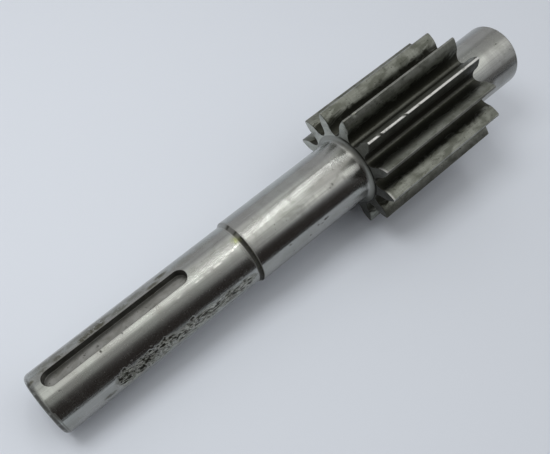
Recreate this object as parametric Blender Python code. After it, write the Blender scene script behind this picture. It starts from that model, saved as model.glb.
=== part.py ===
"""Pinion shaft: a 12-tooth spur pinion cut in one piece with its stepped, keyed shaft.

Frame: metres, +Z up. The shaft's axis is the X axis, with the origin half way along it. The
keyed drive end points to -X and the short tail journal to +X. A tooth space faces straight down
and another straight up, so the part lies on two teeth when its pinion is set on a flat surface.
"""

import math

import bmesh
import bpy

# Lengths along the shaft, in order from the drive end to the tail
KEYED_LENGTH = 0.0970
LEAD_IN_LENGTH = 0.0015
SEAT_LENGTH = 0.0615
PINION_LENGTH = 0.0670
TAIL_LENGTH = 0.0300
TOTAL_LENGTH = KEYED_LENGTH + LEAD_IN_LENGTH + SEAT_LENGTH + PINION_LENGTH + TAIL_LENGTH

# Journal radii
KEYED_RADIUS = 0.0140
SEAT_RADIUS = 0.0150
TAIL_RADIUS = 0.0150

# Edge breaks and fillets
DRIVE_CHAMFER = 0.0016
DRIVE_CHAMFER_DROP = 0.0014
TAIL_CHAMFER = 0.0008
FRONT_FILLET = 0.0024
BACK_FILLET = 0.0012
FILLET_OVERRUN = 0.0002

# 60 degree centre holes that the shaft was turned and ground on
CENTRE_RADIUS = 0.00335
PILOT_RADIUS = 0.0016
PILOT_DEPTH = 0.0065
DRILL_POINT = 0.0008

# Key seat, a closed slot with round ends; its middle stands KEY_LEAN off +Z, towards +Y
KEY_WIDTH = 0.0070
KEY_DEPTH = 0.0037
KEY_START = 0.0053
KEY_END = 0.0724
KEY_LEAN = math.radians(11.5)

# Spur teeth
TEETH = 12
MODULE = 0.004
PRESSURE_ANGLE = math.radians(20)
TIP_RADIUS = 0.0280
ROOT_RADIUS = 0.0180
TOOTH_THINNING = 0.0014
TOOTH_END_CHAMFER = 0.0003

# Fineness of the curves
ROUND_STEPS = 72
FILLET_STEPS = 4
FLANK_POINTS = 6
ROOT_POINTS = 6
KEY_END_STEPS = 12

STEEL_COLOUR = (0.53, 0.53, 0.51, 1.0)
STEEL_ROUGHNESS = 0.3


def station(distance):
    """X of a place that is distance along the shaft from the drive end."""
    return distance - TOTAL_LENGTH / 2


PINION_FRONT = station(KEYED_LENGTH + LEAD_IN_LENGTH + SEAT_LENGTH)
PINION_BACK = PINION_FRONT + PINION_LENGTH


def clear_scene():
    for old in list(bpy.data.objects):
        bpy.data.objects.remove(old)


def steel():
    material = bpy.data.materials.new("ground_steel")
    material.use_nodes = True
    shader = material.node_tree.nodes["Principled BSDF"]
    shader.inputs["Base Color"].default_value = STEEL_COLOUR
    shader.inputs["Metallic"].default_value = 1.0
    shader.inputs["Roughness"].default_value = STEEL_ROUGHNESS
    return material


def add_object(name, bm):
    bmesh.ops.recalc_face_normals(bm, faces=bm.faces)
    mesh = bpy.data.meshes.new(name)
    bm.to_mesh(mesh)
    bm.free()
    made = bpy.data.objects.new(name, mesh)
    bpy.context.collection.objects.link(made)
    return made


def centre_hole(end, inward):
    """(x, radius) points of one centre hole, from its drill point out to the end face."""
    cone = (CENTRE_RADIUS - PILOT_RADIUS) / math.tan(math.radians(30))
    return [
        (end + inward * (PILOT_DEPTH + DRILL_POINT), 0.0),
        (end + inward * PILOT_DEPTH, PILOT_RADIUS),
        (end + inward * cone, PILOT_RADIUS),
        (end, CENTRE_RADIUS),
    ]


def fillet(face, side, shaft_radius, size):
    """A concave quarter round from the shaft up into a pinion face, starting on the shaft.

    side is -1 on the front face and +1 on the back face. The round ends a little inside the
    pinion, so that the two bodies cross cleanly.
    """
    inner = face - side * FILLET_OVERRUN
    points = []
    for step in range(FILLET_STEPS + 1):
        turn = math.pi / 2 * step / FILLET_STEPS
        x = inner + side * size * (1 - math.sin(turn))
        points.append((x, shaft_radius + size * (1 - math.cos(turn))))
    return points


def shaft_profile():
    drive, tail = station(0), station(TOTAL_LENGTH)
    return [
        *centre_hole(drive, 1),
        (drive, KEYED_RADIUS - DRIVE_CHAMFER_DROP),
        (drive + DRIVE_CHAMFER, KEYED_RADIUS),
        (station(KEYED_LENGTH), KEYED_RADIUS),
        (station(KEYED_LENGTH + LEAD_IN_LENGTH), SEAT_RADIUS),
        *fillet(PINION_FRONT, -1, SEAT_RADIUS, FRONT_FILLET),
        *reversed(fillet(PINION_BACK, 1, TAIL_RADIUS, BACK_FILLET)),
        (tail - TAIL_CHAMFER, TAIL_RADIUS),
        (tail, TAIL_RADIUS - TAIL_CHAMFER),
        *reversed(centre_hole(tail, -1)),
    ]


def turned_shaft():
    """The shaft's profile spun round the X axis."""
    bm = bmesh.new()
    verts = [bm.verts.new((x, 0.0, radius)) for x, radius in shaft_profile()]
    edges = [bm.edges.new(pair) for pair in zip(verts, verts[1:])]
    bmesh.ops.spin(
        bm,
        geom=verts + edges,
        cent=(0, 0, 0),
        axis=(1, 0, 0),
        angle=2 * math.pi,
        steps=ROUND_STEPS,
        use_merge=True,
    )
    bmesh.ops.remove_doubles(bm, verts=bm.verts, dist=1e-6)
    return add_object("pinion_shaft", bm)


def involute(angle):
    return math.tan(angle) - angle


def half_tooth_angle(radius):
    """Half of the angle that a tooth takes up at this radius, on its involute flank."""
    pitch_radius = MODULE * TEETH / 2
    base_radius = pitch_radius * math.cos(PRESSURE_ANGLE)
    at_pitch = math.pi / (2 * TEETH) - TOOTH_THINNING / (2 * pitch_radius)
    here = math.acos(min(1.0, base_radius / radius))
    return at_pitch + involute(PRESSURE_ANGLE) - involute(here)


def half_gap_and_flank():
    """(radius, angle from the tooth's middle) from the middle of the root out to the tip.

    The root is half of an ellipse, from the middle of the tooth space up to the base circle.
    """
    base_radius = MODULE * TEETH / 2 * math.cos(PRESSURE_ANGLE)
    space = math.pi / TEETH
    foot = half_tooth_angle(base_radius)
    points = []
    for step in range(ROOT_POINTS):
        turn = math.pi / 2 * step / ROOT_POINTS
        radius = ROOT_RADIUS + (base_radius - ROOT_RADIUS) * (1 - math.cos(turn))
        points.append((radius, space + (foot - space) * math.sin(turn)))
    for step in range(FLANK_POINTS):
        radius = base_radius + (TIP_RADIUS - base_radius) * step / (FLANK_POINTS - 1)
        points.append((radius, half_tooth_angle(radius)))
    return points


def pinion_outline():
    """(y, z) points all the way round the teeth; each tooth starts from the root before it."""
    half = half_gap_and_flank()
    outline = []
    for tooth in range(TEETH):
        middle = 2 * math.pi * (tooth + 0.5) / TEETH
        polar = [(radius, middle - angle) for radius, angle in half]
        polar += [(radius, middle + angle) for radius, angle in reversed(half[1:])]
        outline += [(r * math.cos(a), r * math.sin(a)) for r, a in polar]
    return outline


def drawn_in(outline, distance):
    """The outline moved inward by distance, point by point along its normals."""
    moved = []
    for i, (y, z) in enumerate(outline):
        before, after = outline[i - 1], outline[(i + 1) % len(outline)]
        along = (after[0] - before[0], after[1] - before[1])
        length = math.hypot(*along)
        moved.append((y - distance * along[1] / length, z + distance * along[0] / length))
    return moved


def pinion_block():
    """The toothed block, with every tooth edge broken at both end faces."""
    full = pinion_outline()
    broken = drawn_in(full, TOOTH_END_CHAMFER)
    sections = [
        (PINION_FRONT, broken),
        (PINION_FRONT + TOOTH_END_CHAMFER, full),
        (PINION_BACK - TOOTH_END_CHAMFER, full),
        (PINION_BACK, broken),
    ]
    bm = bmesh.new()
    rings = [[bm.verts.new((x, y, z)) for y, z in outline] for x, outline in sections]
    for near, far in zip(rings, rings[1:]):
        for i, vert in enumerate(near):
            j = (i + 1) % len(near)
            bm.faces.new((vert, near[j], far[j], far[i]))
    bm.faces.new(rings[0])
    bm.faces.new(rings[-1])
    return add_object("pinion_block", bm)


def key_cutter():
    """A round-ended bar that stands on the key seat's floor."""
    radius = KEY_WIDTH / 2
    outline = []
    for centre, start in ((KEY_END - radius, -math.pi / 2), (KEY_START + radius, math.pi / 2)):
        for step in range(KEY_END_STEPS + 1):
            turn = start + math.pi * step / KEY_END_STEPS
            outline.append((station(centre) + radius * math.cos(turn), radius * math.sin(turn)))
    floor = KEYED_RADIUS - KEY_DEPTH
    bm = bmesh.new()
    base = bm.faces.new([bm.verts.new((x, y, floor)) for x, y in outline])
    raised = bmesh.ops.extrude_face_region(bm, geom=[base])["geom"]
    top = [item for item in raised if isinstance(item, bmesh.types.BMVert)]
    bmesh.ops.translate(bm, verts=top, vec=(0, 0, 2 * KEY_DEPTH))
    cutter = add_object("key_cutter", bm)
    cutter.rotation_euler.x = -KEY_LEAN
    return cutter


def combine(target, tool, operation):
    """Adds a live Boolean of a helper body, which is left out of the finished model."""
    tool.hide_render = True
    tool.display_type = "WIRE"
    modifier = target.modifiers.new(tool.name, "BOOLEAN")
    modifier.operation = operation
    modifier.solver = "EXACT"
    modifier.object = tool


def main():
    clear_scene()
    shaft = turned_shaft()
    shaft.data.materials.append(steel())
    combine(shaft, pinion_block(), "UNION")
    combine(shaft, key_cutter(), "DIFFERENCE")
    shaft.data.shade_smooth()
    shaft.data.set_sharp_from_angle(angle=math.radians(20))


main()
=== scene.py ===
"""The looks of the pinion shaft: one finely meshed body over the CAD part, lying on pale paper.

Shapes are worked out in millimetres as (d, y, z), where d is the distance along the shaft from
its drive end, and y and z are the part's own axes. Angles are turned from +Y towards +Z.
"""

import math

import bmesh
import bpy
import numpy as np
from mathutils import Matrix, Vector
from mathutils.geometry import delaunay_2d_cdt


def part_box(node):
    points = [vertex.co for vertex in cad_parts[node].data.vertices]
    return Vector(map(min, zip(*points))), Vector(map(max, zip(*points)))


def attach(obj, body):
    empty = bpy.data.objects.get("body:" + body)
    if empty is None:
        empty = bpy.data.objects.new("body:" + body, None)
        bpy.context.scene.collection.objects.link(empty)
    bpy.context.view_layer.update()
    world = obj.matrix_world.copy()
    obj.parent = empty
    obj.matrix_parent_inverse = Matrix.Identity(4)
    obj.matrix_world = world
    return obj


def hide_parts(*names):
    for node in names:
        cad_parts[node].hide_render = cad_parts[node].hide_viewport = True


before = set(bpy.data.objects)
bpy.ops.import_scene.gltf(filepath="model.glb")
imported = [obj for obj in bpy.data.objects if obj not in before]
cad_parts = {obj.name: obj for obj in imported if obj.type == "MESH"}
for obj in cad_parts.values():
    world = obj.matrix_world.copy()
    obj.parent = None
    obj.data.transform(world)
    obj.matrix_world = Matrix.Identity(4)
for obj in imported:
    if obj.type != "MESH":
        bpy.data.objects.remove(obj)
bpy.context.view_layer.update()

NODE = "pinion_shaft"
LOW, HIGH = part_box(NODE)
MM = 0.001
START = LOW.x / MM
TINY = 1e-6

# In metres: points this close are joined, and edges this short are dissolved
WELD = 2e-6
SLIVER = 1e-6

# Sizes of the shaft, as the CAD has them
KEYED_LENGTH = 97.0
SHOULDER_END = 98.5
PINION_FRONT = 160.0
PINION_BACK = 227.0
TOTAL_LENGTH = (HIGH.x - LOW.x) / MM
KEYED_RADIUS = 14.0
SEAT_RADIUS = 15.0
TAIL_RADIUS = 15.0
DRIVE_CHAMFER = 1.6
DRIVE_CHAMFER_DROP = 1.4
TAIL_CHAMFER = 0.8
FRONT_FILLET = 2.4
BACK_FILLET = 1.2
CENTRE_RADIUS = 3.35
PILOT_RADIUS = 1.6
PILOT_DEPTH = 6.5
DRILL_POINT = 0.8

# Where the finish changes: part of the way up the drive end's chamfer, and beside the shoulder
GROUND_START = 0.7
SHOULDER_START = 96.6
SEAT_START = SHOULDER_END + 0.4

# Key seat
KEY_HALF_WIDTH = 3.5
KEY_FLOOR = 10.3
KEY_START = 5.3
KEY_END = 72.4
KEY_NEAR = KEY_START + KEY_HALF_WIDTH
KEY_FAR = KEY_END - KEY_HALF_WIDTH
KEY_ANGLE = math.radians(78.5)
KEY_EDGE = 0.22
KEY_CORNER = 0.25
KEY_END_POINTS = 25
KEY_SIDE_POINTS = 110
KEY_CURVE_POINTS = 5
KEY_WALL_POINTS = 7

# Teeth
TEETH = 12
PITCH_RADIUS = 24.0
PRESSURE_ANGLE = math.radians(20)
BASE_RADIUS = PITCH_RADIUS * math.cos(PRESSURE_ANGLE)
TIP_RADIUS = 28.0
ROOT_RADIUS = 18.0
TOOTH_THINNING = 1.4
TIP_ROUNDING = 0.12
TOOTH_END_CHAMFER = 0.3

# Angles of the lines along the shaft, closest together where the surface is pitted
ANGLES = np.radians(np.concatenate([
    np.arange(0, 132, 2.0),
    np.linspace(132, 182, 60, False),
    np.arange(182, 360, 2.0),
]))

# The window left open in the keyed journal's net round the key seat, which triangles fill
WINDOW_ANGLES = (math.radians(58), math.radians(98))
WINDOW_ROWS = (3.6, 74.0)
WINDOW_CLEARANCE = 0.18

# Fineness of the rounded corners, fillets and tooth curves
BEND_STEPS = 5
FILLET_POINTS = 13
ROOT_POINTS = 10
FLANK_POINTS = 14


def spaced(*stops):
    """Rising values through stops given as start, step, stop, step, stop and so on."""
    values = [stops[0]]
    for step, stop in zip(stops[1::2], stops[2::2]):
        count = max(1, round((stop - values[-1]) / step))
        values += list(np.linspace(values[-1], stop, count + 1)[1:])
    return values


def bent(corners):
    """A polyline of (d, r, size) corners, each rounded over size on either side."""
    points = [np.array(corners[0][:2])]
    for before, here, after in zip(corners, corners[1:], corners[2:]):
        p = np.array(here[:2])
        if here[2] == 0:
            points.append(p)
            continue
        back = np.array(before[:2]) - p
        ahead = np.array(after[:2]) - p
        back *= here[2] / np.linalg.norm(back)
        ahead *= here[2] / np.linalg.norm(ahead)
        for t in np.linspace(0, 1, BEND_STEPS + 1):
            points.append(p + back * (1 - t) ** 2 + ahead * t**2)
    points.append(np.array(corners[-1][:2]))
    return np.array(points)


class Skin:
    """The points and faces of one mesh, gathered patch by patch and joined where they meet."""

    def __init__(self):
        self.points = []
        self.faces = []
        self.finishes = []
        self.count = 0

    def add(self, points, faces, finish):
        """One patch, of (d, y, z) points and of faces counted from its own first point."""
        self.points.append(np.asarray(points, float))
        self.faces += [[i + self.count for i in face] for face in faces]
        self.finishes += [finish] * len(faces)
        self.count += len(points)

    def net(self, rows, finish, leave_out=None):
        """A net of closed rings; leave_out(i, j) is true for each mesh that stays open."""
        rows = np.asarray(rows, float)
        down, across = rows.shape[:2]
        faces = []
        for i in range(down - 1):
            for j in range(across):
                if leave_out and leave_out(i, j):
                    continue
                k = (j + 1) % across
                here, below = i * across, (i + 1) * across
                faces.append([here + j, here + k, below + k, below + j])
        self.add(rows.reshape(-1, 3), faces, finish)

    def turned(self, profile, finish):
        """A profile of (d, r) swept round the axis."""
        profile = np.asarray(profile)
        self.net(rings(profile[:, 0], profile[:, 1]), finish)

    def build(self, name, finishes):
        """The whole skin as one object, with its patches joined along their edges."""
        mesh = bpy.data.meshes.new(name)
        points = np.concatenate(self.points)
        points[:, 0] += START
        mesh.from_pydata((points * MM).tolist(), [], self.faces)
        for finish in finishes.values():
            mesh.materials.append(finish)
        order = list(finishes)
        mesh.polygons.foreach_set("material_index", [order.index(f) for f in self.finishes])
        bm = bmesh.new()
        bm.from_mesh(mesh)
        bmesh.ops.remove_doubles(bm, verts=bm.verts, dist=WELD)
        bmesh.ops.dissolve_degenerate(bm, edges=bm.edges, dist=SLIVER)
        bmesh.ops.recalc_face_normals(bm, faces=bm.faces)
        open_edges = sum(not edge.is_manifold for edge in bm.edges)
        print("edges left open:", open_edges, "faces:", len(bm.faces))
        bm.to_mesh(mesh)
        bm.free()
        mesh.shade_smooth()
        paint(mesh)
        made = bpy.data.objects.new(name, mesh)
        bpy.context.scene.collection.objects.link(made)
        return made


def rings(distances, radii):
    """(d, y, z) points round the axis; radii is one per distance, or a net of them."""
    distances = np.asarray(distances, float)[:, None]
    radii = np.asarray(radii, float)
    if radii.ndim == 1:
        radii = radii[:, None]
    radii = radii * np.ones(len(ANGLES))
    return np.stack([distances + 0 * radii, radii * np.cos(ANGLES), radii * np.sin(ANGLES)], -1)


# Pits in the corroded patch on the keyed journal

PIT_CLUSTERS = (
    # from, to, middle angle, spread, count, size, stretch
    (26.5, 35.0, 158, 11, 60, 0.32, 1.0),
    (35.0, 46.0, 160, 11, 66, 0.32, 1.0),
    (44.0, 54.0, 155, 9, 44, 0.32, 1.0),
    (54.0, 70.0, 162, 9, 60, 0.32, 1.6),
    (68.0, 92.0, 163, 7, 54, 0.3, 2.0),
)
# The larger ones, where several have run together, as pit_field gives them
LARGE_PITS = (
    (27.9, 153.9, 0.7, 0.6, 0.18),
    (31.2, 142.5, 0.9, 0.55, 0.18),
    (28.9, 166.9, 1.1, 0.5, 0.2),
    (31.5, 165.0, 0.7, 0.45, 0.16),
    (37.5, 164.6, 1.3, 0.6, 0.22),
    (40.3, 158.9, 1.3, 0.55, 0.18),
    (43.1, 146.3, 0.7, 0.6, 0.18),
    (48.2, 154.0, 1.4, 0.55, 0.24),
    (49.9, 146.0, 0.8, 0.5, 0.22),
    (52.3, 150.0, 0.85, 0.5, 0.22),
    (63.5, 147.9, 1.15, 0.5, 0.24),
    (61.9, 158.3, 1.0, 0.42, 0.2),
    (75.6, 157.7, 0.6, 0.3, 0.1),
    (87.5, 169.4, 1.6, 0.24, 0.13),
    (92.3, 160.7, 0.8, 0.24, 0.1),
    (80.1, 173.2, 1.4, 0.22, 0.1),
)
# The faint rim round each pit: its height, and the depth of a wider pit at which it is full
PIT_RIM_HEIGHT = 0.03
PIT_RIM_FULL = 0.05
PIT_RIM_SPREAD = (1, 1, 1.5, 1.9, 1)


def pit_field():
    """Pits as (distance, angle in degrees, half length, half width, depth), all in mm but one."""
    rng = np.random.default_rng(11)
    pits = []
    for start, stop, middle, spread, count, size, stretch in PIT_CLUSTERS:
        for _ in range(count):
            half_length = size * rng.uniform(0.6, 1.5)
            pits.append((
                rng.uniform(start, stop),
                middle + spread * rng.normal() * 0.8,
                half_length * rng.uniform(1.0, 1.8) * stretch,
                half_length * rng.uniform(0.5, 0.9),
                rng.uniform(0.05, 0.12),
            ))
    pits += LARGE_PITS
    return np.array(pits)


def pit_depth(distances, pits):
    """How far the keyed journal sinks at each distance and angle; the pits have three lobes."""
    d = np.asarray(distances, float)[:, None]
    a = ANGLES[None, :]
    depth = np.zeros((d.shape[0], a.shape[1]))
    for at, turn, half_length, half_width, deep in pits:
        along = (d - at) / half_length
        around = (a - math.radians(turn)) * KEYED_RADIUS / half_width
        wobble = 1 + 0.3 * np.sin(3 * np.arctan2(around, along) + at * 7)
        reach = (along**2 + around**2) / wobble
        depth = np.maximum(depth, deep * np.clip(1.15 - reach, 0, 1) ** 0.8)
    return depth


# Key seat

def slot_ring(offset):
    """Points (d, u) round the slot's outline, moved outward by offset; u is across the slot."""
    radius = KEY_HALF_WIDTH + offset
    half_turn = np.radians(np.linspace(-90, 90, KEY_END_POINTS))
    straight = np.linspace(0, 1, KEY_SIDE_POINTS)[1:-1]
    length = KEY_FAR - KEY_NEAR
    return np.concatenate([
        np.stack([KEY_FAR + radius * np.cos(half_turn), radius * np.sin(half_turn)], -1),
        np.stack([KEY_FAR - length * straight, radius + 0 * straight], -1),
        np.stack([KEY_NEAR - radius * np.cos(half_turn), -radius * np.sin(half_turn)], -1),
        np.stack([KEY_NEAR + length * straight, -radius + 0 * straight], -1),
    ])


def key_space(d, across, height):
    """(d, y, z) of points given across and above the key seat's middle."""
    cos, sin = math.cos(KEY_ANGLE), math.sin(KEY_ANGLE)
    return np.stack([d, height * cos - across * sin, height * sin + across * cos], -1)


def key_seat(skin):
    """The slot's rounded rim, walls, corner and floor."""
    rows = []
    rim = np.sqrt(KEYED_RADIUS**2 - slot_ring(0)[:, 1] ** 2) - KEY_EDGE
    for turn in np.radians(np.linspace(0, 90, KEY_CURVE_POINTS)):
        d, across = slot_ring(KEY_EDGE * (1 - math.sin(turn))).T
        on_shaft = np.sqrt(KEYED_RADIUS**2 - across**2)
        rows.append(key_space(d, across, on_shaft - KEY_EDGE * (1 - math.cos(turn))))
    low = KEY_FLOOR + KEY_CORNER
    d, across = slot_ring(0).T
    for share in np.linspace(0, 1, KEY_WALL_POINTS)[1:]:
        rows.append(key_space(d, across, rim + (low - rim) * share))
    for turn in np.radians(np.linspace(0, 90, KEY_CURVE_POINTS))[1:]:
        d, across = slot_ring(-KEY_CORNER * (1 - math.cos(turn))).T
        rows.append(key_space(d, across, KEY_FLOOR + KEY_CORNER * (1 - math.sin(turn)) + 0 * d))
    for offset in (-0.5, -1.0, -1.7, -2.4, -3.0, -KEY_HALF_WIDTH):
        d, across = slot_ring(offset).T
        rows.append(key_space(d, across, KEY_FLOOR + 0 * d))
    skin.net(rows, "milled")


def key_surround(skin, distances):
    """The journal's surface round the slot, between the window's edge and the slot's rim."""
    d, across = slot_ring(KEY_EDGE).T
    rim = np.stack([d, KEYED_RADIUS * (KEY_ANGLE + np.arcsin(across / KEYED_RADIUS))], -1)
    rows = [v for v in distances if WINDOW_ROWS[0] - TINY <= v <= WINDOW_ROWS[1] + TINY]
    angles = [a for a in ANGLES if WINDOW_ANGLES[0] - TINY <= a <= WINDOW_ANGLES[1] + TINY]
    field = np.array([(v, a * KEYED_RADIUS) for v in rows for a in angles])

    def from_slot(points):
        u = KEYED_RADIUS * np.sin(points[:, 1] / KEYED_RADIUS - KEY_ANGLE)
        beside = points[:, 0] - np.clip(points[:, 0], KEY_NEAR, KEY_FAR)
        return np.hypot(beside, u) - KEY_HALF_WIDTH

    field = field[from_slot(field) > KEY_EDGE + WINDOW_CLEARANCE]
    points = np.concatenate([rim, field])
    loop = [(i, (i + 1) % len(rim)) for i in range(len(rim))]
    verts, _, faces, *_ = delaunay_2d_cdt([Vector(p) for p in points], loop, [], 0, 1e-7)
    flat = np.array(verts)
    on_rim = from_slot(flat) < KEY_EDGE + 0.01
    kept = [list(face) for face in faces if not on_rim[list(face)].all()]
    turn = flat[:, 1] / KEYED_RADIUS
    wrapped = np.stack([flat[:, 0], KEYED_RADIUS * np.cos(turn), KEYED_RADIUS * np.sin(turn)], -1)
    skin.add(wrapped, kept, "ground")


# Shaft

def end_hole(face, inward):
    """The 60 degree centre hole in one end, as corners from its drill point out to the face."""
    cone = (CENTRE_RADIUS - PILOT_RADIUS) / math.tan(math.radians(30))
    return [
        (face + inward * (PILOT_DEPTH + DRILL_POINT), 0.0, 0),
        (face + inward * PILOT_DEPTH, PILOT_RADIUS, 0),
        (face + inward * cone, PILOT_RADIUS, 0.1),
        (face, CENTRE_RADIUS, 0.12),
    ]


def drive_end(skin):
    """The end face and its chamfer, up to the journal."""
    profile = bent([
        *end_hole(0, 1),
        (0, KEYED_RADIUS - DRIVE_CHAMFER_DROP, 1.0),
        (DRIVE_CHAMFER, KEYED_RADIUS, 1.0),
        (DRIVE_CHAMFER + 1.0, KEYED_RADIUS, 0),
    ])
    change = int(np.argmax(profile[:, 0] >= GROUND_START))
    skin.turned(profile[:change + 1], "turned")
    skin.turned(profile[change:], "ground")


def keyed_journal(skin):
    """The pitted journal with its key seat, each pit with a faint raised rim."""
    pits = pit_field()
    first, last = WINDOW_ROWS
    # The rows are closest together along the corroded patch
    distances = spaced(DRIVE_CHAMFER + 1.0, 0.5, first, 0.7, 26, 0.25, last, 0.25, 94, 0.5, SHOULDER_START)
    depth = pit_depth(distances, pits)
    rim = PIT_RIM_HEIGHT * np.clip(pit_depth(distances, pits * PIT_RIM_SPREAD) / PIT_RIM_FULL, 0, 1)
    rim *= depth == 0

    def in_window(i, j):
        in_row = first - TINY < distances[i] < last - TINY
        return in_row and WINDOW_ANGLES[0] - TINY < ANGLES[j] < WINDOW_ANGLES[1] - TINY

    skin.net(rings(distances, KEYED_RADIUS - depth + rim), "ground", in_window)
    key_surround(skin, distances)
    key_seat(skin)


def step_up(skin):
    """The chamfered shoulder between the keyed and the middle journal."""
    skin.turned(bent([
        (SHOULDER_START, KEYED_RADIUS, 0),
        (KEYED_LENGTH, KEYED_RADIUS, 0.15),
        (SHOULDER_END, SEAT_RADIUS, 0.15),
        (SEAT_START, SEAT_RADIUS, 0),
    ]), "shoulder")


def journal(skin, start, step, stop, radius):
    """A plain length of the shaft, with a ring every step or so."""
    distances = spaced(start, step, stop)
    skin.net(rings(distances, radius + 0 * np.array(distances)), "ground")


def fillet(skin, face, side, radius, size):
    """The hollow quarter round from a journal up into a pinion face; side is -1 or 1 along it."""
    turns = np.radians(np.linspace(0, 90, FILLET_POINTS))
    skin.turned([
        (face + side * size * (1 - math.sin(t)), radius + size * (1 - math.cos(t))) for t in turns
    ], "ground")


def shaft(skin):
    drive_end(skin)
    keyed_journal(skin)
    step_up(skin)
    journal(skin, SEAT_START, 0.6, PINION_FRONT - FRONT_FILLET, SEAT_RADIUS)
    fillet(skin, PINION_FRONT, -1, SEAT_RADIUS, FRONT_FILLET)
    fillet(skin, PINION_BACK, 1, TAIL_RADIUS, BACK_FILLET)
    chamfer = TOTAL_LENGTH - TAIL_CHAMFER
    journal(skin, PINION_BACK + BACK_FILLET, 0.8, chamfer - 0.3, TAIL_RADIUS)
    skin.turned(bent([
        (chamfer - 0.3, TAIL_RADIUS, 0),
        (chamfer, TAIL_RADIUS, 0.2),
        (TOTAL_LENGTH, TAIL_RADIUS - TAIL_CHAMFER, 0.2),
        *reversed(end_hole(TOTAL_LENGTH, -1)),
    ]), "turned")


# Teeth

# Dents in the lands, as (distance, the tooth's middle in degrees, half width, depth)
NICKS = (
    (167.0, 105, 0.55, 0.55),
    (181.7, 105, 0.45, 0.45),
    (165.5, 75, 0.8, 0.3),
)
NICK_SLANT = 1.2
NICK_BOTTOM = 26.6
NICK_HEIGHT = 1.2


def involute(angle):
    return math.tan(angle) - angle


def half_tooth(radius):
    """Half of the angle that a tooth takes up at this radius, on its involute flank."""
    at_pitch = math.pi / (2 * TEETH) - TOOTH_THINNING / (2 * PITCH_RADIUS)
    here = math.acos(min(1.0, BASE_RADIUS / radius))
    return at_pitch + involute(PRESSURE_ANGLE) - involute(here)


def half_profile():
    """(radius, angle from the tooth's middle) from the middle of the root up to the tip's edge."""
    space = math.pi / TEETH
    foot = half_tooth(BASE_RADIUS)
    points = []
    for turn in np.linspace(0, math.pi / 2, ROOT_POINTS)[:-1]:
        radius = ROOT_RADIUS + (BASE_RADIUS - ROOT_RADIUS) * (1 - math.cos(turn))
        points.append((radius, space + (foot - space) * math.sin(turn)))
    for radius in np.linspace(BASE_RADIUS, TIP_RADIUS - TIP_ROUNDING, FLANK_POINTS):
        points.append((radius, half_tooth(radius)))
    edge = half_tooth(TIP_RADIUS - TIP_ROUNDING)
    for turn in np.radians((30, 60, 90)):
        radius = TIP_RADIUS - TIP_ROUNDING * (1 - math.sin(turn))
        points.append((radius, edge - TIP_ROUNDING * (1 - math.cos(turn)) / TIP_RADIUS))
    return points


def outline():
    """(y, z) points round all of the teeth."""
    half = half_profile()
    points = []
    for tooth in range(TEETH):
        middle = 2 * math.pi * (tooth + 0.5) / TEETH
        polar = [(r, middle - a) for r, a in half] + [(TIP_RADIUS, middle)]
        polar += [(r, middle + a) for r, a in reversed(half[1:])]
        points += [(r * math.cos(a), r * math.sin(a)) for r, a in polar]
    return np.array(points)


def drawn_in(points, distance):
    """The outline moved inward; past their own radius, the rounded tooth corners close to points."""
    along = np.roll(points, -1, 0) - np.roll(points, 1, 0)
    along /= np.linalg.norm(along, axis=1)[:, None]
    moved = points + distance * np.stack([-along[:, 1], along[:, 0]], -1)
    if distance < TIP_ROUNDING:
        return moved
    pitch = 2 * math.pi / TEETH
    radius = TIP_RADIUS - distance
    angle = np.arctan2(points[:, 1], points[:, 0])
    middle = (np.floor(angle / pitch) + 0.5) * pitch
    side = np.sign(np.round(angle - middle, 6))
    sharp = middle + side * (half_tooth(radius) - distance / BASE_RADIUS)
    corner = np.hypot(points[:, 0], points[:, 1]) > TIP_RADIUS - TIP_ROUNDING - TINY
    corner &= side != 0
    moved[corner] = radius * np.stack([np.cos(sharp), np.sin(sharp)], -1)[corner]
    return moved


def nicks(d, points):
    """Dents in the lands of the teeth, as a drop at each outline point."""
    radius = np.hypot(points[:, 0], points[:, 1])
    angle = np.degrees(np.arctan2(points[:, 1], points[:, 0]))
    drop = np.zeros(len(points))
    for at, tooth, half_width, deep in NICKS:
        off = (angle - tooth + 180) % 360 - 180
        near = np.abs(off) < 6
        slanted = (d - at - NICK_SLANT * np.radians(off) * TIP_RADIUS) / half_width
        drop += near * deep * np.exp(-slanted**2) * np.clip((radius - NICK_BOTTOM) / NICK_HEIGHT, 0, 1)
    return drop


def tooth_rows():
    """(d, inset) of each row along the teeth, with rounded ends and close together at the nicks."""
    size = TOOTH_END_CHAMFER
    ends = [(size * (1 - math.cos(t)), size * (1 - math.sin(t))) for t in np.radians((0, 30, 60))]
    inner = spaced(PINION_FRONT + size, 1.0, 164, 0.3, 169, 1.0, 180, 0.3, 184, 1.2, PINION_BACK - size)
    rows = [(PINION_FRONT + along, inset) for along, inset in ends]
    rows += [(d, 0.0) for d in inner]
    rows += [(PINION_BACK - along, inset) for along, inset in reversed(ends)]
    return rows


def teeth(skin):
    full = outline()
    radius = np.hypot(full[:, 0], full[:, 1])
    net = []
    for d, inset in tooth_rows():
        shape = drawn_in(full, inset) * (1 - nicks(d, full) / radius)[:, None]
        net.append(np.column_stack([np.full(len(shape), d), shape]))
    skin.net(net, "hobbed")
    pinion_face(skin, PINION_FRONT, net[0][:, 1:], SEAT_RADIUS + FRONT_FILLET)
    pinion_face(skin, PINION_BACK, net[-1][:, 1:], TAIL_RADIUS + BACK_FILLET)


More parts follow.
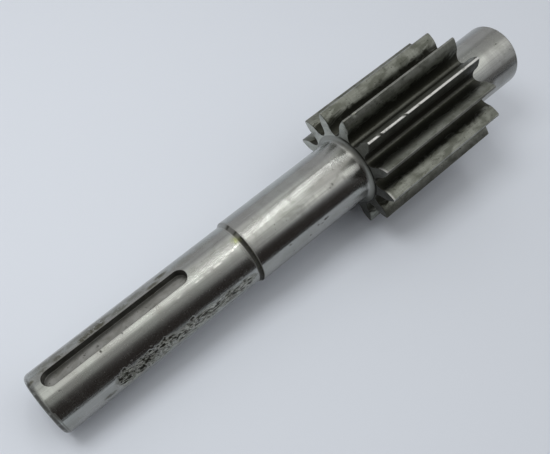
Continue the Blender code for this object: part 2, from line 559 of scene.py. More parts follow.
def pinion_face(skin, d, outer, inner_radius):
    """The flat face between the fillet's ring and the teeth's outline, in triangles."""
    outer = outer[np.linalg.norm(outer - np.roll(outer, 1, 0), axis=1) > TINY]
    ring = inner_radius * np.stack([np.cos(ANGLES), np.sin(ANGLES)], -1)
    points = np.concatenate([ring, outer])
    count = len(ring)
    loops = [(i, (i + 1) % count) for i in range(count)]
    loops += [(count + i, count + (i + 1) % len(outer)) for i in range(len(outer))]
    verts, _, faces, *_ = delaunay_2d_cdt([Vector(p) for p in points], loops, [], 0, 1e-7)
    flat = np.array(verts)
    on_ring = np.hypot(flat[:, 0], flat[:, 1]) < inner_radius + 0.001
    ahead = np.roll(outer, -1, 0)
    kept = []
    for face in faces:
        if on_ring[list(face)].all():
            continue
        # A triangle lies within the outline if a line from its middle crosses it an odd number of times
        y, z = flat[list(face)].mean(0)
        astride = (outer[:, 1] > z) != (ahead[:, 1] > z)
        a, b = outer[astride], ahead[astride]
        crossings = a[:, 0] + (z - a[:, 1]) / (b[:, 1] - a[:, 1]) * (b[:, 0] - a[:, 0]) > y
        if crossings.sum() % 2:
            kept.append(list(face))
    skin.add(np.column_stack([np.full(len(flat), d), flat]), kept, "faced")


# Marks: dirt, stains and wear, and painted shade and highlights, as (distance, angle in degrees, half
# length, half width, strength)

# Dried, dark stains
STAINS = (
    (2.0, 65, 1.6, 1.0, 0.9),
    (8.1, 59, 2.6, 1.1, 0.8),
    (14.8, 56, 3.2, 1.6, 0.9),
    (20.5, 50, 3.0, 1.6, 0.6),
    (26.3, 58, 2.6, 1.9, 1.0),
    (29.9, 55, 3.4, 1.9, 1.0),
    (34.0, 56, 3.4, 2.0, 1.0),
    (36.0, 48, 6.0, 1.6, 0.8),
    (44.0, 54, 5.5, 2.2, 0.75),
    (52.0, 50, 6.0, 2.0, 0.7),
    (59.6, 58, 3.4, 1.4, 0.9),
    (64.6, 49, 3.4, 1.5, 1.0),
    (75.0, 55, 6.0, 2.6, 0.35),
    (86.0, 52, 6.0, 2.4, 0.25),
    (21.7, 170, 3.0, 1.2, 0.7),
    (36.0, 160, 11.0, 3.0, 0.45),
    (52.0, 152, 7.0, 2.2, 0.4),
    (80.0, 168, 12.0, 2.0, 0.3),
    (235.5, 155, 4.5, 2.4, 0.9),
    (12.0, 44, 9.0, 3.2, 0.7),
    (30.0, 43, 12.0, 2.8, 0.65),
    (50.0, 42, 14.0, 2.4, 0.45),
    (97.5, 110, 2.0, 9.0, 0.35),
)
# Single dark specks
SPECKS = (
    (28.5, 97, 0.5, 0.4, 1.0),
    (38.8, 95, 0.45, 0.35, 0.9),
    (8.5, 106, 0.5, 0.4, 0.9),
    (29.0, 77.4, 0.5, 0.35, 1.0),
    (23.2, 74.6, 0.5, 0.35, 0.9),
    (52.5, 76.6, 0.4, 0.25, 0.7),
    (9.0, 145, 0.6, 0.45, 1.0),
    (100.5, 65, 1.2, 0.22, 0.9),
    (133.6, 157, 0.8, 0.55, 1.0),
    (134.9, 156.5, 0.5, 0.4, 0.9),
    (129.4, 157.5, 0.6, 0.4, 0.8),
    (131.3, 160, 0.7, 0.3, 0.7),
    (114.0, 153, 0.7, 0.35, 0.7),
    (124.6, 166, 0.6, 0.4, 0.8),
    (115.0, 172, 0.5, 0.35, 0.7),
    (143.2, 115, 0.25, 0.6, 0.45),
    (141.4, 118, 0.45, 0.35, 0.6),
    (249.6, 100, 0.8, 0.35, 0.7),
)
# Darker films of oil, and painted shade where the journals mirror the shadowed paper below them and a dim
# part of the room
FILM_AND_SHADE = (
    (146.0, 102, 15.0, 2.3, 1.0),
    (14.0, 158, 13.0, 1.2, 0.4),
    (14.0, 178, 38.0, 6.5, 0.85),
    (128.0, 178, 40.0, 6.5, 0.75),
    (243.0, 163, 22.0, 5.0, 1.0),
    (243.0, 188, 22.0, 3.5, 0.8),
    (35.0, 36, 50.0, 4.2, 0.6),
)
# Painted highlights: brighter patches on the journals
PAINTED_SHEEN = (
    (143.0, 116, 16.0, 1.7, 1.0),
    (243.0, 113, 15.0, 5.0, 0.5),
)
# Painted highlights: pale marks in a row past the key seat
PAINTED_GLEAM = (
    (64.0, 106.0, 1.8, 0.3, 0.8),
    (68.0, 105.0, 3.0, 0.18, 0.5),
    (74.5, 104.0, 2.4, 0.36, 0.8),
    (79.0, 104.6, 2.2, 0.22, 0.5),
    (84.0, 103.2, 2.6, 0.42, 0.9),
    (87.5, 101.3, 2.2, 0.34, 0.9),
    (91.5, 99.6, 3.0, 0.4, 0.9),
    (95.0, 98.2, 1.8, 0.26, 0.7),
)
# The scratched ground between the pits
SCARS = (
    (31.0, 156, 5.0, 3.2, 1.0),
    (40.0, 158, 6.0, 3.4, 1.0),
    (50.0, 155, 6.0, 2.6, 0.9),
    (60.0, 160, 7.0, 3.0, 0.9),
    (70.0, 160, 8.0, 3.0, 0.9),
    (80.0, 161, 8.0, 3.0, 0.9),
    (90.0, 162, 6.0, 2.4, 0.8),
    (57.0, 170, 22.0, 1.4, 0.8),
    (33.0, 171, 6.0, 2.6, 0.9),
    (46.0, 171, 8.0, 2.6, 0.9),
    (64.0, 173, 16.0, 2.4, 0.8),
    (84.0, 173, 12.0, 1.8, 0.7),
)


# The tooth just past the top towards -Y, and the next two that way, with painted highlights on their front
# edges
TOP_TOOTH = 105
HIGHLIGHTED_TEETH = (135, 165)

# Where the journal's net can sink or rise, and how far it does so to show in full
PITTED_ROWS = (2.2, 96.5)
PITTED_ANGLES = (math.radians(128), math.radians(190))
PIT_SHOWN = 0.06
PIT_RIM_SHOWN = 0.015


class Places:
    """Where each point of a mesh lies, in millimetres and degrees."""

    def __init__(self, mesh):
        flat = np.empty(len(mesh.vertices) * 3)
        mesh.vertices.foreach_get("co", flat)
        x, self.y, self.z = flat.reshape(-1, 3).T / MM
        self.d = x - START
        self.angle = np.arctan2(self.z, self.y) % (2 * math.pi)
        self.degrees = np.degrees(self.angle)
        self.radius = np.hypot(self.y, self.z)
        self.tooth = np.round((self.degrees - 15) / 30) * 30 + 15


def ramp(value, start, end, least=0):
    """Goes from least at start to 1 at end, and stays level outside them; end may be the lower."""
    return np.clip((value - start) / (end - start), least, 1)


def soft_marks(at, marks):
    """The strongest of the marks at each point."""
    made = np.zeros(len(at.d))
    for middle, turn, half_length, half_width, strength in marks:
        off = (at.angle - math.radians(turn) + math.pi) % (2 * math.pi) - math.pi
        reach = ((at.d - middle) / half_length) ** 2 + (off * at.radius / half_width) ** 2
        made = np.maximum(made, strength * np.clip(1.3 - reach, 0, 1))
    return made


def sunk(at, full):
    """How far the pitted journal lies below its radius, as a share of full, which may be negative."""
    pitted = (at.d > PITTED_ROWS[0]) & (at.d < PITTED_ROWS[1])
    pitted &= (at.angle > PITTED_ANGLES[0]) & (at.angle < PITTED_ANGLES[1])
    return np.where(pitted, (KEYED_RADIUS - at.radius) / full, 0)


def key_seat_shade(at):
    """Painted shade at the foot of the key seat's walls."""
    cos, sin = math.cos(KEY_ANGLE), math.sin(KEY_ANGLE)
    above_floor = at.y * cos + at.z * sin - KEY_FLOOR
    across = np.abs(at.z * cos - at.y * sin)
    past_end = np.maximum(np.abs(at.d - (KEY_NEAR + KEY_FAR) / 2) - (KEY_FAR - KEY_NEAR) / 2, 0)
    from_wall = KEY_HALF_WIDTH - np.hypot(past_end, across)
    return np.clip(1.1 - from_wall / 0.4, 0, 1) * np.clip(4.5 - above_floor, 0, 1)


def shoulder_grime_and_shade(at):
    """Dirt against the shoulder in two blobs +Y of its top, and painted shade in a band, heaviest down its
    -Y side.
    """
    blobs = np.maximum(np.exp(-((at.degrees - 80) / 4) ** 2), np.exp(-((at.degrees - 61) / 5) ** 2))
    band = ramp(at.degrees, 84, 92, 0.55) * ramp(at.degrees, 202, 190, 0.25) * ramp(at.degrees, 48, 68)
    return np.clip(2.0 - np.abs(at.d - 97.8) / 0.6, 0, 1) * np.maximum(blobs, band)


def smear(at):
    """The smear of grease against the shoulder, at the top."""
    return np.exp(-((at.d - 95.9) / 1.3) ** 2 - ((at.degrees - 89) / 6) ** 2)


def on_teeth(at):
    return (at.d > PINION_FRONT + 0.05) & (at.d < PINION_BACK - 0.05)


def pinion_shade(at):
    """Painted shade on the flanks of the top tooth and down the -Y side of the pinion's front face."""
    off = at.degrees - at.tooth
    flanks = np.where(off > 0.8, 0.9, np.where(off < -0.8, 0.35, 0)) * (at.tooth == TOP_TOOTH)
    flanks = flanks * ramp(at.radius, TIP_RADIUS - 0.1, TIP_RADIUS - 0.4)
    face = ramp(at.degrees, 88, 100) * 0.55 + ramp(at.degrees, 125, 145) * 0.30
    face *= at.degrees < 280
    return np.where(on_teeth(at), flanks, np.where(at.d < PINION_FRONT + 0.06, face, 0.15))


def dark_lip(at):
    """Darker round the drive end's rim, less so underneath and on the +Y side."""
    rim = ramp(at.d, 1.9, 1.4) * ramp(at.radius, 12.4, 12.8)
    return rim * ramp(at.degrees, 35, 60, 0.25) * ramp(at.degrees, 215, 195, 0.3)


def edge_highlights(at):
    """Painted highlights on the front edges of two teeth."""
    edge = np.exp(-((at.d - PINION_FRONT - 0.35) / 0.45) ** 2) * on_teeth(at)
    return edge * np.isin(at.tooth, HIGHLIGHTED_TEETH) * ramp(at.radius, 23.5, 25.5)


def crease_shade(at):
    """Painted shade in the fillet at the pinion's front face."""
    near = np.abs(at.d - PINION_FRONT) < 3
    return near * ramp(at.degrees, 55, 75) * ramp(at.degrees, 190, 175)


def paint(mesh):
    """Stores where the steel is pitted, stained or dirty, and where shade and highlights are painted, for
    its materials to read.
    """
    at = Places(mesh)
    for name, values in (
        ("pit", sunk(at, PIT_SHOWN)),
        ("scar", sunk(at, -PIT_RIM_SHOWN)),
        ("stain", soft_marks(at, STAINS)),
        ("speck", soft_marks(at, SPECKS)),
        # Painted highlights past the key seat
        ("pale", soft_marks(at, PAINTED_GLEAM)),
        # Oil films, and painted shade on the journals
        ("film", soft_marks(at, FILM_AND_SHADE)),
        # Painted highlights
        ("painted_sheen", soft_marks(at, PAINTED_SHEEN)),
        # Painted shade in the key seat
        ("corner", key_seat_shade(at)),
        ("grime_and_shade", shoulder_grime_and_shade(at)),
        ("grease", smear(at)),
        # Painted shade on the pinion
        ("pinion_shade", pinion_shade(at)),
        ("lip", dark_lip(at)),
        # Painted highlight on the top tooth's land, light wear on the others
        ("wear_and_highlight", np.where(at.tooth == TOP_TOOTH, 1.0, 0.18)),
        ("edge_highlight", edge_highlights(at)),
        ("crease_shade", crease_shade(at)),
        ("scarred", soft_marks(at, SCARS)),
    ):
        layer = mesh.attributes.new(name, "FLOAT", "POINT")
        layer.data.foreach_set("value", np.clip(values, 0, 1))


# Materials

CLOUD_ROUGHNESS = 0.55
QUARTER_TURN = 0.25
OLIVE = (0.055, 0.052, 0.034)
# Dark dirt, and the colour of painted shade in creases and corners
DIRT_AND_SHADE = (0.018, 0.016, 0.011)
LIP = (0.045, 0.043, 0.038)
GREASE = (0.30, 0.33, 0.10)
BRIGHT = (0.62, 0.62, 0.60)


def feed(socket, value):
    """Sets an input socket to a value, or links it to the output socket that gives its value."""
    if isinstance(value, bpy.types.NodeSocket):
        socket.id_data.links.new(value, socket)
    else:
        socket.default_value = value


def node(tree, kind, inputs=None, **settings):
    made = tree.nodes.new("ShaderNode" + kind)
    for name, value in settings.items():
        setattr(made, name, value)
    for key, value in (inputs or {}).items():
        feed(made.inputs[key], value)
    return made


class Finish:
    """A metal built up in layers, each a mask that tints, dulls and lifts the surface."""

    def __init__(self, name, colour, roughness, anisotropy=0.0):
        self.material = bpy.data.materials.new(name)
        self.material.use_nodes = True
        self.tree = self.material.node_tree
        self.shader = self.tree.nodes["Principled BSDF"]
        self.colour = (*colour, 1)
        self.roughness = roughness
        self.height = 0.0
        self.metallic = 1.0
        if anisotropy:
            around = self.node("Tangent", direction_type="RADIAL", axis="X")
            feed(self.shader.inputs["Anisotropic"], anisotropy)
            feed(self.shader.inputs["Anisotropic Rotation"], QUARTER_TURN)
            feed(self.shader.inputs["Tangent"], around.outputs[0])
        place = self.node("TexCoord").outputs["Object"]
        scaled = self.node("VectorMath", {0: place, 1: (1 / MM,) * 3}, operation="MULTIPLY")
        self.place = scaled.outputs[0]
        split = self.node("SeparateXYZ", {0: self.place}).outputs
        flat = self.node("CombineXYZ", {1: split[1], 2: split[2]})
        self.along = split[0]
        length = self.node("VectorMath", {0: flat.outputs[0]}, operation="LENGTH")
        self.radius = length.outputs["Value"]

    def node(self, kind, inputs=None, **settings):
        return node(self.tree, kind, inputs, **settings)

    def math(self, operation, *values):
        return self.node("Math", dict(enumerate(values)), operation=operation).outputs[0]

    def ease(self, value, low, high):
        """0 below low and 1 above high; with low above high it falls instead."""
        ends = (low, high, 0.0, 1.0) if low < high else (high, low, 1.0, 0.0)
        inputs = dict(enumerate((value, *ends)))
        return self.node("MapRange", inputs, interpolation_type="SMOOTHSTEP").outputs[0]

    def past(self, start, stop):
        """0 before start and 1 after stop, as distances along the shaft, or the other way round."""
        return self.ease(self.along, start + START, stop + START)

    def noise(self, stretch, low, high, detail, warp=0.0, shift=0.0, radial=False):
        """Cloudy patches; stretch is how many to a millimetre each way, or radially and along."""
        place = self.place
        if radial:
            place = self.node("CombineXYZ", {0: self.radius, 1: self.along}).outputs[0]
        inputs = {0: place, 1: stretch, 2: (shift,) * 3}
        moved = self.node("VectorMath", inputs, operation="MULTIPLY_ADD")
        cloud = self.node("TexNoise", {
            "Vector": moved.outputs[0],
            "Scale": 1.0,
            "Detail": detail,
            "Roughness": CLOUD_ROUGHNESS,
            "Distortion": warp,
        })
        return self.ease(cloud.outputs["Fac"], low, high)

    def times(self, *masks):
        made = masks[0]
        for mask in masks[1:]:
            made = self.math("MULTIPLY", made, mask)
        return made

    def marked(self, name, *masks):
        """Where the mesh has this mark and the masks, if any, are 1."""
        return self.times(self.node("Attribute", attribute_name=name).outputs["Fac"], *masks)

    def layer(self, mask, tint=None, share=1.0, dull=0.0, lift=0.0, matt=0.0):
        """One layer, in full where mask is 1.

        share is how much of the tint shows, dull is added to the roughness and lift to the height
        in mm, and matt is how much of the metal it hides.
        """
        if tint:
            factor = self.math("MULTIPLY", mask, share) if share != 1 else mask
            mix = self.node("Mix", {0: factor, 6: self.colour, 7: (*tint, 1)}, data_type="RGBA")
            self.colour = mix.outputs[2]
        if dull:
            self.roughness = self.math("MULTIPLY_ADD", mask, dull, self.roughness)
        if lift:
            self.height = self.math("MULTIPLY_ADD", mask, lift, self.height)
        if matt:
            left = self.math("MULTIPLY_ADD", mask, -matt, 1.0)
            self.metallic = self.math("MULTIPLY", self.metallic, left)

    def lip(self):
        """The darkening round the drive end's rim, which two finishes share."""
        patchy = self.noise((0.8, 0.5, 0.5), 0.2, 0.5, 3)
        self.layer(self.marked("lip", patchy), LIP, 0.85, 0.1, matt=0.6)

    def done(self):
        """Joins the layers to the shader; what is matt mirrors less as well."""
        shine = self.math("MULTIPLY", self.metallic, 0.5) if self.metallic != 1 else 0.5
        bump = self.node("Bump", {"Height": self.height, "Distance": MM})
        feed(self.shader.inputs["Base Color"], self.colour)
        feed(self.shader.inputs["Roughness"], self.roughness)
        feed(self.shader.inputs["Metallic"], self.metallic)
        feed(self.shader.inputs["Specular IOR Level"], shine)
        feed(self.shader.inputs["Normal"], bump.outputs[0])
        return self.material


def ground():
    """Journals: ground round and round, then stained, scratched and pitted, with painted shade and
    highlights.
    """
    made = Finish("ground_steel", (0.394, 0.409, 0.386), 0.205, 0.8)
    made.layer(made.past(SHOULDER_END - 1, SHOULDER_END), dull=-0.03)
    # Oil films, and painted shade where the journals mirror the shadowed paper and a dim part of the room
    made.layer(made.marked("film"), (0.21, 0.206, 0.192), 0.92, 0.03)
    # Painted highlights: brighter patches on the journals
    made.layer(made.marked("painted_sheen"), (0.70, 0.715, 0.66), 0.92)

    # Broad bands and fine rings round the shaft, clouds, and scratches along it
    made.layer(made.noise((0.10, 0.02, 0.02), 0.35, 0.65, 2), (0.35, 0.35, 0.335), 0.7, 0.02)
    made.layer(made.noise((2.6, 0.03, 0.03), 0.30, 0.70, 2), (0.33, 0.333, 0.32), 0.25, 0.02, 0.0003)
    cloud = made.noise((0.16, 0.22, 0.22), 0.48, 0.72, 4, warp=0.6, shift=3)
    made.layer(cloud, (0.25, 0.252, 0.22), 0.35, 0.05)
    pale_scratches = made.noise((0.05, 2.4, 2.4), 0.60, 0.72, 2, shift=9)
    made.layer(pale_scratches, (0.53, 0.54, 0.51), 0.30, 0.02, -0.0004)
    dark_scratches = made.noise((0.03, 1.7, 1.7), 0.55, 0.66, 2, shift=44)
    made.layer(dark_scratches, (0.25, 0.25, 0.235), 0.25, 0.02)

    # Stains, specks and painted highlights in their places, and a few specks anywhere
    made.layer(made.noise((1.1, 1.3, 1.3), 0.66, 0.74, 3, shift=5), OLIVE, 0.55, 0.12, -0.004)
    blotch = made.noise((0.8, 0.6, 0.6), 0.30, 0.50, 4, warp=0.8, shift=14)
    made.layer(made.marked("stain", blotch), OLIVE, 0.95, 0.18, matt=0.8)
    made.layer(made.marked("speck"), DIRT_AND_SHADE, 0.95, 0.2, -0.03, 0.6)
    # Painted highlights: pale marks past the key seat
    broken = made.noise((0.9, 1.6, 1.6), 0.30, 0.55, 3)
    made.layer(made.marked("pale", broken), (0.74, 0.74, 0.71), 0.85)

    # The corroded patch: a greenish ground with dark furrows, dashes and pockmarks, pale beside them
    made.layer(made.marked("scar"), (0.62, 0.62, 0.57), 0.45, 0.02)
    scarred = made.marked("scarred")
    greenish = made.noise((0.2, 0.4, 0.4), 0.25, 0.5, 3, shift=61)
    made.layer(made.times(scarred, greenish), (0.29, 0.30, 0.23), 0.6, 0.05)
    furrow = made.noise((0.36, 1.3, 1.3), 0.51, 0.58, 4, warp=1.6, shift=31)
    ridge = made.noise((0.36, 1.3, 1.3), 0.47, 0.40, 4, warp=1.6, shift=31)
    made.layer(made.times(scarred, ridge), (0.62, 0.62, 0.58), 0.70, 0.04, 0.04)
    made.layer(made.times(scarred, furrow), (0.034, 0.031, 0.021), 0.7, 0.15, -0.07)
    dashes = made.noise((0.6, 2.0, 2.0), 0.575, 0.62, 3, warp=1.0, shift=83)
    edges = made.noise((0.6, 2.0, 2.0), 0.46, 0.40, 3, warp=1.0, shift=83)
    made.layer(made.times(scarred, edges), (0.64, 0.64, 0.60), 0.55, 0.03, 0.03)
    made.layer(made.times(scarred, dashes), DIRT_AND_SHADE, 0.97, 0.15, -0.06, 0.8)
    pocked = made.noise((0.8, 1.2, 1.2), 0.54, 0.60, 4, warp=0.9, shift=52)
    worst = made.past(50, 42)
    made.layer(made.times(scarred, pocked, worst), DIRT_AND_SHADE, 0.70, 0.2, -0.06)

    # Duller up to the pinion but not on the tail, darker up the fillet, with painted shade in the crease
    # at its top
    near_pinion = made.past(PINION_FRONT - 14, PINION_FRONT - 5)
    not_tail = made.past(PINION_FRONT + 20, PINION_FRONT + 10)
    made.layer(made.times(near_pinion, not_tail), dull=0.07)
    rise = made.ease(made.radius, SEAT_RADIUS + 0.05, SEAT_RADIUS + 0.7)
    made.layer(rise, (0.23, 0.232, 0.205), 0.78, 0.06)
    top = made.ease(made.radius, SEAT_RADIUS + 1.6, SEAT_RADIUS + 2.3)
    # Painted shade in the crease at the fillet's top
    made.layer(made.marked("crease_shade", top), DIRT_AND_SHADE, 0.5, 0.1)

    # The pits' crust, the smear of grease and the drive end's rim
    crust = made.noise((1.6, 2.2, 2.2), 0.12, 0.32, 4, shift=21)
    made.layer(made.marked("pit", crust), DIRT_AND_SHADE, 0.97, 0.25, -0.01, 0.8)
    made.layer(made.marked("grease", blotch), GREASE, 0.75, 0.05)
    made.lip()
    return made.done()


def milled():
    """The key seat, with the cutter's marks and painted shade in its corners."""
    made = Finish("milled_steel", (0.29, 0.29, 0.278), 0.34)
    made.layer(made.noise((0.5, 0.25, 0.25), 0.35, 0.65, 2), (0.22, 0.22, 0.205), 0.5, 0.05, 0.002)
    cloud = made.noise((0.12, 0.35, 0.35), 0.42, 0.68, 4, warp=0.5, shift=2)
    made.layer(cloud, (0.15, 0.148, 0.125), 0.6, 0.08)
    made.layer(made.noise((0.9, 1.2, 1.2), 0.63, 0.72, 3, shift=8), OLIVE, 0.7, 0.1, -0.006)
    # Painted shade in the key seat's corners
    made.layer(made.marked("corner"), DIRT_AND_SHADE, 0.55, 0.12)
    made.layer(made.marked("speck"), DIRT_AND_SHADE, 0.95, 0.2, -0.03)
    return made.done()


def turned():
    """End faces and chamfers, left as they came off the lathe."""
    made = Finish("turned_steel", (0.30, 0.30, 0.29), 0.36)
    grooves = made.noise((3.0, 3.0, 0), 0.32, 0.68, 1, radial=True)
    made.layer(grooves, (0.21, 0.21, 0.20), 0.6, 0.08, 0.003)
    made.layer(made.noise((0.25, 0.25, 0.25), 0.45, 0.7, 4, warp=0.5), (0.15, 0.145, 0.12), 0.6, 0.1)
    made.layer(made.noise((1.2, 1.2, 1.2), 0.62, 0.72, 3, shift=4), OLIVE, 0.7, 0.1, -0.005)
    made.lip()
    return made.done()


def shoulder():
    """The short chamfer up to the seat, with dirt and painted shade lying against it."""
    made = Finish("shoulder_steel", (0.34, 0.342, 0.325), 0.32)
    made.layer(made.noise((3.0, 0.05, 0.05), 0.3, 0.7, 1), (0.27, 0.27, 0.25), 0.5, 0.06, 0.002)
    patchy = made.noise((0.9, 0.7, 0.7), 0.12, 0.38, 4, warp=0.6, shift=6)
    grime_and_shade = made.marked("grime_and_shade", patchy)
    # Dirt, and painted shade in a band round the shoulder
    made.layer(grime_and_shade, (0.011, 0.010, 0.007), 0.97, 0.25, matt=0.9)
    lighter = made.noise((1.3, 1.5, 1.5), 0.56, 0.64, 3, shift=23)
    made.layer(made.times(grime_and_shade, lighter), (0.10, 0.10, 0.07), 0.6)
    made.layer(made.marked("grease"), GREASE, 0.7, 0.05)
    return made.done()


def hobbed():
    """Teeth: feed marks of the hob under an oily film, darker towards the roots."""
    made = Finish("hobbed_steel", (0.235, 0.245, 0.215), 0.35)
    made.layer(made.noise((0.9, 0.06, 0.06), 0.3, 0.7, 2), (0.18, 0.185, 0.16), 0.5, 0.06, 0.004)
    made.layer(made.noise((0.07, 1.6, 1.6), 0.45, 0.7, 2, shift=7), (0.30, 0.31, 0.28), 0.4, -0.03, 0.002)
    film = made.noise((0.14, 0.24, 0.24), 0.42, 0.62, 5, warp=0.4, shift=1)
    made.layer(film, (0.10, 0.105, 0.083), 0.7, 0.08)

    # Darkest in the roots, with a painted highlight in a thin bright line at the very bottom
    depth = made.ease(made.radius, 26.8, 19.4)
    cloud = made.noise((0.13, 0.30, 0.30), 0.20, 0.80, 5, warp=1.2, shift=11)
    both = made.math("ADD", depth, made.math("MULTIPLY_ADD", cloud, 0.9, -0.45))
    made.layer(made.ease(both, 0.30, 0.75), (0.036, 0.036, 0.027), 0.9, 0.12)
    # Painted shade on the top tooth's flanks
    made.layer(made.marked("pinion_shade"), (0.03, 0.029, 0.022), 0.85, 0.15, matt=0.4)
    root_highlight = made.ease(made.radius, ROOT_RADIUS + 0.28, ROOT_RADIUS + 0.05)
    made.layer(root_highlight, (0.14, 0.143, 0.125), 0.6, -0.05)
    made.layer(made.noise((1.1, 1.2, 1.2), 0.63, 0.71, 3, shift=18), DIRT_AND_SHADE, 0.7, 0.1, -0.006)

    # Painted highlights on the top tooth's land and on two front edges, and light wear on the other lands
    wear_and_highlight = made.noise((0.5, 0.5, 0.5), 0.2, 0.5, 3, shift=4)
    land = made.ease(made.radius, TIP_RADIUS - 0.16, TIP_RADIUS - 0.04)
    made.layer(made.times(land, made.marked("wear_and_highlight"), wear_and_highlight), BRIGHT, 0.95, -0.08)
    made.layer(made.marked("edge_highlight", wear_and_highlight), BRIGHT, 0.7, -0.05)
    return made.done()


def faced():
    """The pinion's end faces, turned flat and marked by the cutter running out."""
    made = Finish("faced_steel", (0.46, 0.475, 0.425), 0.38)
    grooves = made.noise((2.4, 2.4, 0), 0.32, 0.68, 1, radial=True)
    made.layer(grooves, (0.36, 0.362, 0.34), 0.5, 0.07, 0.003)
    cloud = made.noise((0.22, 0.22, 0.22), 0.45, 0.65, 4, warp=0.5, shift=3)
    made.layer(cloud, (0.25, 0.25, 0.215), 0.6, 0.08)
    made.layer(made.noise((0.2, 1.4, 0.35), 0.55, 0.7, 2, shift=8), (0.52, 0.52, 0.50), 0.4, 0.03)
    made.layer(made.noise((1.1, 1.1, 1.1), 0.64, 0.72, 3, shift=6), OLIVE, 0.7, 0.1, -0.005)
    # Painted shade, heaviest down the -Y side of the front face
    made.layer(made.marked("pinion_shade"), (0.05, 0.05, 0.046), 0.9, 0.15)
    inner = made.ease(made.radius, ROOT_RADIUS + 0.6, ROOT_RADIUS)
    # Painted shade round the face's inner edge, in the crease
    made.layer(made.marked("crease_shade", inner), DIRT_AND_SHADE, 0.85, 0.1)
    return made.done()


def finishes():
    """Each finish under its own name."""
    makers = (ground, milled, turned, shoulder, hobbed, faced)
    return {maker.__name__: maker() for maker in makers}


# Surroundings

# (x, z) where the shaft touches the paper: its drive end's rim and its teeth's front ends
RIM_LOW = (LOW.x + DRIVE_CHAMFER * MM, -KEYED_RADIUS * MM)
TOOTH_LOW = (LOW.x + (PINION_FRONT + 0.3) * MM, -TIP_RADIUS * math.cos(math.radians(15)) * MM)
SLOPE = (TOOTH_LOW[1] - RIM_LOW[1]) / (TOOTH_LOW[0] - RIM_LOW[0])
PAPER_HALF = 3.0
PAPER_GAP = 0.00002

# Far off, the paper's backdrop: a quarter round, lifted clear of the paper, with a wall above it
SWEEP_START = 1.2
SWEEP_RADIUS = 1.2
SWEEP_LIFT = 0.0002
SWEEP_TOP = 2.8

# The room's light, as (height of the direction, brightness, blue against the other two)
ROOM = (
    (0.0, 0.28, 1.04),
    (0.55, 0.29, 1.03),
    (0.68, 0.49, 1.0),
    (0.87, 0.60, 0.98),
    (0.98, 0.80, 0.97),
)
# Where the room is darker, as (direction, cosines of its edge and its core, brightness there)
SHADES = (
    ((-0.85, 0.1, 0.5), 0.30, 0.80, 0.50),
    ((-0.1, -0.5, 0.86), 0.888, 0.912, 0.33),
    ((0.63, 0.30, 0.71), 0.90, 0.975, 0.50),
)
# Whoever stands beside the camera, and what is low down there, in the same form
FIGURES = (
    ((-0.156, -0.885, 0.438), 0.788, 0.906, 0.0),
    ((0.5, -0.85, -0.1), 0.922, 0.948, 0.40),
    ((0.237, -0.949, 0.208), 0.872, 0.962, 0.0),
)
FIGURE_COLOUR = (0.018, 0.0150, 0.014)


def plain(name, colour, roughness):
    """A plain material for the surroundings."""
    material = bpy.data.materials.new(name)
    material.use_nodes = True
    shader = material.node_tree.nodes["Principled BSDF"]
    feed(shader.inputs["Base Color"], (*colour, 1))
    feed(shader.inputs["Roughness"], roughness)
    feed(shader.inputs["Specular IOR Level"], 0.1)
    return material


def staged(name, points, faces, material):
    """One object of the surroundings."""
    mesh = bpy.data.meshes.new(name)
    mesh.from_pydata(points, [], faces)
    mesh.materials.append(material)
    made = bpy.data.objects.new(name, mesh)
    bpy.context.scene.collection.objects.link(made)
    return made


def paper_height(x):
    """The shaft lies a little tilted, so in its own frame the paper slopes."""
    return RIM_LOW[1] - SLOPE * RIM_LOW[0] - PAPER_GAP + SLOPE * x


def paper():
    """A sheet under the shaft, which stands on its drive end's rim and two of its teeth."""
    corners = [(PAPER_HALF * x, PAPER_HALF * y) for x, y in ((-1, -1), (1, -1), (1, 1), (-1, 1))]
    corners = [(x, y, paper_height(x)) for x, y in corners]
    staged("paper", corners, [(0, 1, 2, 3)], plain("paper", (0.712, 0.752, 0.818), 0.6))


def paper_sweep():
    """The sheet's far surround. Only the camera sees it, so it changes no light."""
    profile = [
        (SWEEP_START + SWEEP_RADIUS * math.sin(t), SWEEP_RADIUS * (1 - math.cos(t)) + SWEEP_LIFT)
        for t in np.radians(np.linspace(0, 90, 19))
    ]
    profile.append((SWEEP_START + SWEEP_RADIUS, SWEEP_TOP))
    around = np.radians(np.arange(0, 360, 5))
    points = []
    for reach, rise in profile:
        for turn in around:
            x, y = reach * math.cos(turn), reach * math.sin(turn)
            points.append((x, y, paper_height(x) + rise))
    count = len(around)
    faces = []
    for i in range(len(profile) - 1):
        for j in range(count):
            k = (j + 1) % count
            faces.append((i * count + j, (i + 1) * count + j, (i + 1) * count + k, i * count + k))
    sweep = staged("paper_sweep", points, faces, plain("sweep", (0.85, 0.90, 0.98), 0.6))
    sweep.data.shade_smooth()
    sweep.visible_diffuse = False
    sweep.visible_glossy = False
    sweep.visible_shadow = False


def area_light(name, place, aim, along, size, power):
    """A rectangular lamp that shines at aim; along is the way its long side runs."""
    data = bpy.data.lights.new(name, "AREA")
    data.shape = "RECTANGLE"
    data.size, data.size_y = size
    data.energy = power
    lamp = bpy.data.objects.new(name, data)
    back = (Vector(place) - Vector(aim)).normalized()
    side = Vector(along).cross(back).normalized()
    turn = Matrix((side, back.cross(side), back)).transposed()
    lamp.matrix_world = Matrix.Translation(place) @ turn.to_4x4()
    bpy.context.scene.collection.objects.link(lamp)
    return lamp


def facing(tree, place, direction, edge, core, there):
    """1, but there in the given direction, and between the two from its edge to its core."""
    aim = Vector(direction).normalized()
    cosine = node(tree, "VectorMath", {0: place, 1: aim}, operation="DOT_PRODUCT")
    inputs = {0: cosine.outputs["Value"], 1: edge, 2: core, 3: 1.0, 4: there}
    return node(tree, "MapRange", inputs, interpolation_type="SMOOTHSTEP").outputs[0]


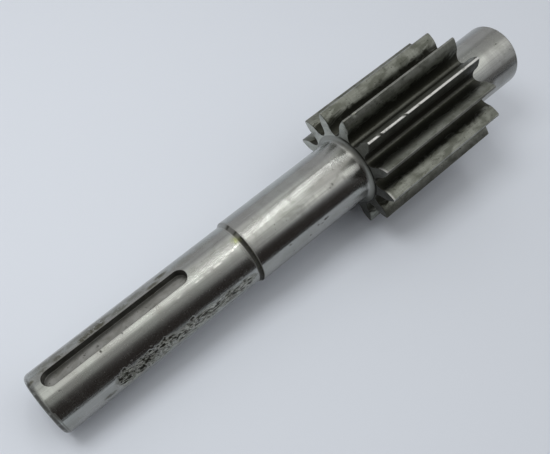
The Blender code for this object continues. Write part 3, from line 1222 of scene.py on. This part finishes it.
def sky():
    """A pale room: bright overhead, dark towards whoever stands beside the camera."""
    world = bpy.data.worlds.new("studio")
    world.use_nodes = True
    bpy.context.scene.world = world
    tree = world.node_tree
    place = node(tree, "TexCoord").outputs["Generated"]
    height = node(tree, "SeparateXYZ", {0: place})
    glow = node(tree, "ValToRGB", {0: height.outputs["Z"]})
    for _ in ROOM[2:]:
        glow.color_ramp.elements.new(0.5)
    for element, (at, value, blue) in zip(glow.color_ramp.elements, ROOM):
        element.position = at
        element.color = (value, value, value * blue, 1)

    room = glow.outputs["Color"]
    for shade in SHADES:
        inputs = {0: room, 1: facing(tree, place, *shade)}
        room = node(tree, "VectorMath", inputs, operation="MULTIPLY").outputs[0]
    clear = facing(tree, place, *FIGURES[0])
    for figure in FIGURES[1:]:
        inputs = {0: clear, 1: facing(tree, place, *figure)}
        clear = node(tree, "Math", inputs, operation="MULTIPLY").outputs[0]
    inputs = {0: clear, 6: (*FIGURE_COLOUR, 1), 7: room}
    seen = node(tree, "Mix", inputs, data_type="RGBA")
    background = tree.nodes["Background"]
    feed(background.inputs["Color"], seen.outputs[2])
    feed(background.inputs["Strength"], 2.0)


def flag():
    """A low dark board, out of the picture, that the journals mirror along their -Y side."""
    corners = [(-0.5, -0.20, -0.04), (0.30, -0.20, -0.04), (0.30, -0.20, 0.0), (-0.5, -0.20, 0.0)]
    board = staged("flag", corners, [(0, 1, 2, 3)], plain("flag", (0.05, 0.04, 0.038), 0.9))
    board.visible_camera = False
    board.visible_diffuse = False
    board.visible_shadow = False


def lights():
    sky()
    flag()
    lamp = area_light("lamp", (-0.13, 0.145, 0.48), (-0.03, 0.04, 0), (0, 1, 0), (0.19, 0.19), 0.82)
    lamp.visible_glossy = False
    # The tube makes the long bright streak on the journals
    area_light("tube", (0.525, 0.42, 1.2), (0.525, 0.42, 0), (0.47, 0.74, 0), (0.028, 0.88), 0.95)


def camera():
    data = bpy.data.cameras.new("camera")
    data.lens = 44.18
    data.sensor_width = 36
    data.shift_x = 0.0712
    data.shift_y = 0.0820
    data.clip_start = 0.01
    made = bpy.data.objects.new("camera", data)
    right = Vector((0.75638, -0.65402, -0.01174))
    up = Vector((0.60134, 0.68817, 0.40599))
    back = right.cross(up)
    turn = Matrix((right, up, back)).transposed()
    made.matrix_world = Matrix.Translation((-0.10877, -0.09273, 0.25360)) @ turn.to_4x4()
    bpy.context.scene.collection.objects.link(made)
    bpy.context.scene.camera = made


def main():
    camera()
    skin = Skin()
    shaft(skin)
    teeth(skin)
    body = skin.build("machined_body", finishes())
    weighted = body.modifiers.new("even_shading", "WEIGHTED_NORMAL")
    weighted.keep_sharp = True
    weighted.weight = 50
    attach(body, "root")
    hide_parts(NODE)
    paper()
    paper_sweep()
    lights()
    bpy.context.scene.view_settings.view_transform = "Standard"


main()
